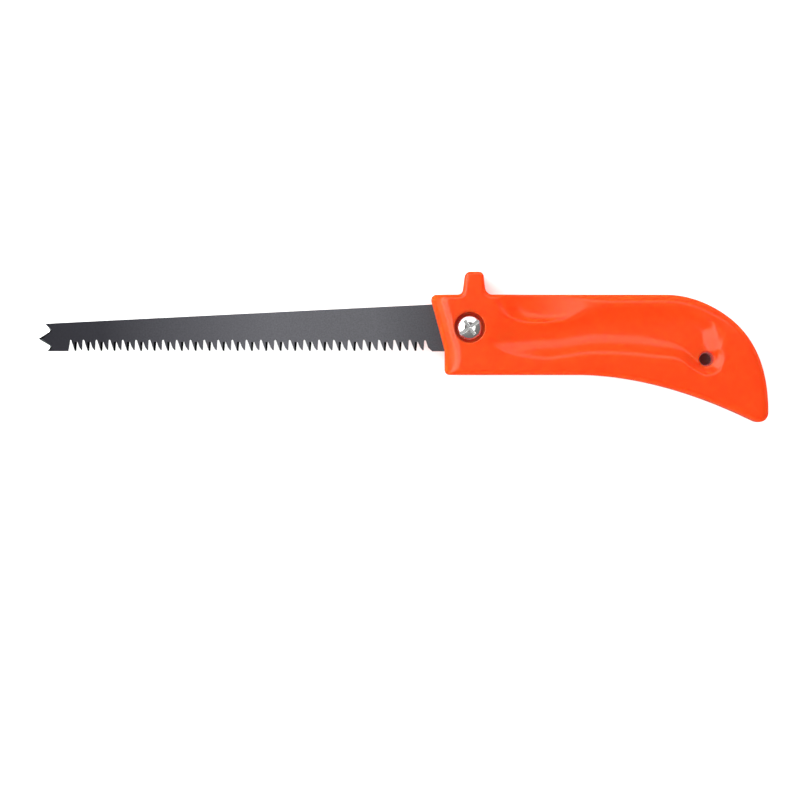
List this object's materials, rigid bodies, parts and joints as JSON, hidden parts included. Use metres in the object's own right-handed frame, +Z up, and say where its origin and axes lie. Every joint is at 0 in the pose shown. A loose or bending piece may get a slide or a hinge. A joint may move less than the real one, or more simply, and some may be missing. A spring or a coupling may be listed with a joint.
{
  "type": "drywall saw",
  "caption": "Jab saw for plasterboard: a moulded plastic pistol-style handle with a thumb stop, and a pointed, toothed steel blade held by a single recessed clamp screw.",
  "frame": {"origin": "under the middle of the saw's bounding box, on the surface that it lies on", "axes": "+X along the saw from the blade's point to the butt of the handle, +Y from the teeth to the spine and the thumb stop, +Z up through the thickness, out of the side that shows the screw's head"},
  "size_m": [0.2998, 0.0618, 0.022],
  "materials": {
    "orange_plastic": "injection-moulded orange polypropylene, satin gloss",
    "dark_steel": "dark phosphated carbon steel with ground tooth bevels",
    "zinc_plate": "bright zinc plate"
  },
  "bodies": {
    "handle_body": {"handle": "orange_plastic", "clamp_nut": "zinc_plate"},
    "blade_body": {"blade": "dark_steel"},
    "washer_body": {"washer": "zinc_plate"},
    "screw_body": {"clamp_screw": "zinc_plate"}
  },
  "joints": [
    {"name": "blade_slide", "type": "slide", "parent": "handle_body", "child": "blade_body", "axis": [-1, 0, 0], "range_m": [0, 0.035]},
    {"name": "screw_lift", "type": "slide", "parent": "handle_body", "child": "washer_body", "axis": [0, 0, 1], "range_m": [0, 0.0036]},
    {"name": "screw_turn", "type": "hinge", "parent": "washer_body", "child": "screw_body", "pos_m": [0.0275, 0.00797, 0.017], "axis": [0, 0, 1], "range_deg": [0, 1620]}
  ],
  "couplings": [
    {"joint": "screw_turn", "follows": "screw_lift", "rad_per_m": 7853.9}
  ]
}
